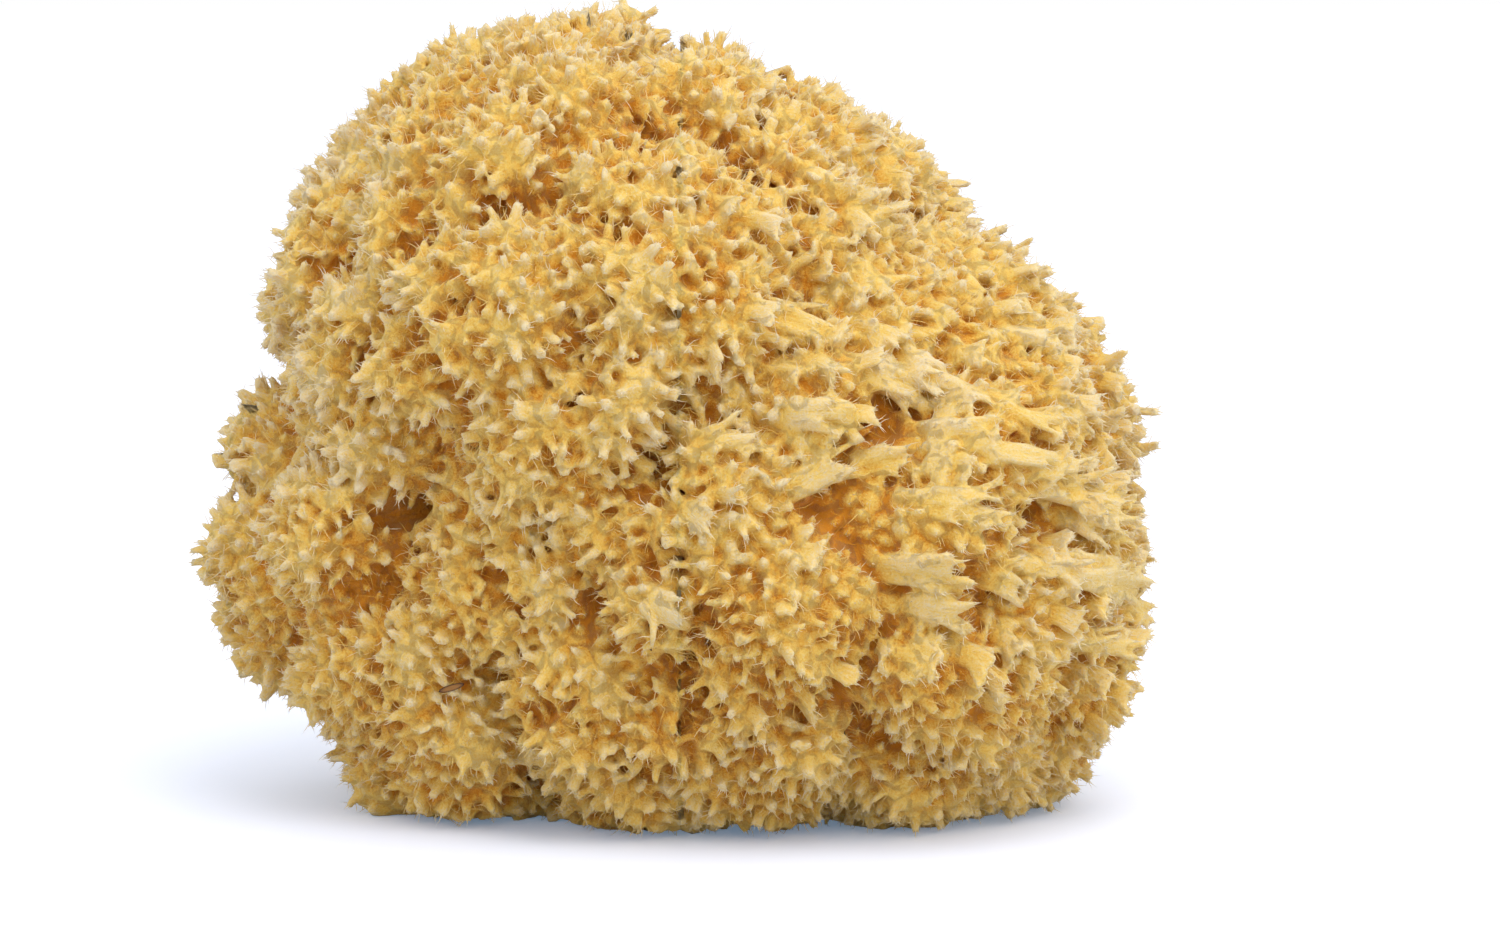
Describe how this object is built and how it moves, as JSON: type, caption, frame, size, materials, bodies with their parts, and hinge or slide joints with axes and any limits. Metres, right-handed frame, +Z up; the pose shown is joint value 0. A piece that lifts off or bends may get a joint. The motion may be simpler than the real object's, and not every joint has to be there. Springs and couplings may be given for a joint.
{
  "type": "sea sponge",
  "caption": "Dried natural bath sponge, a lopsided dome of fused lobes covered in small conules, with deep oscula, cut flat underneath to stand on.",
  "frame": {"origin": "a point in the middle of the flat cut that the sponge stands on", "axes": "+Z up, away from the cut; -Y is the front seen in the picture; +X runs along the width, to the right in that view"},
  "size_m": [0.1469, 0.1268, 0.1245],
  "materials": {
    "spongin_fibre": "matte, soft matted fibre, straw at the tips and amber in the hollows"
  },
  "bodies": {
    "root": {"sponge": "spongin_fibre"}
  },
  "joints": []
}
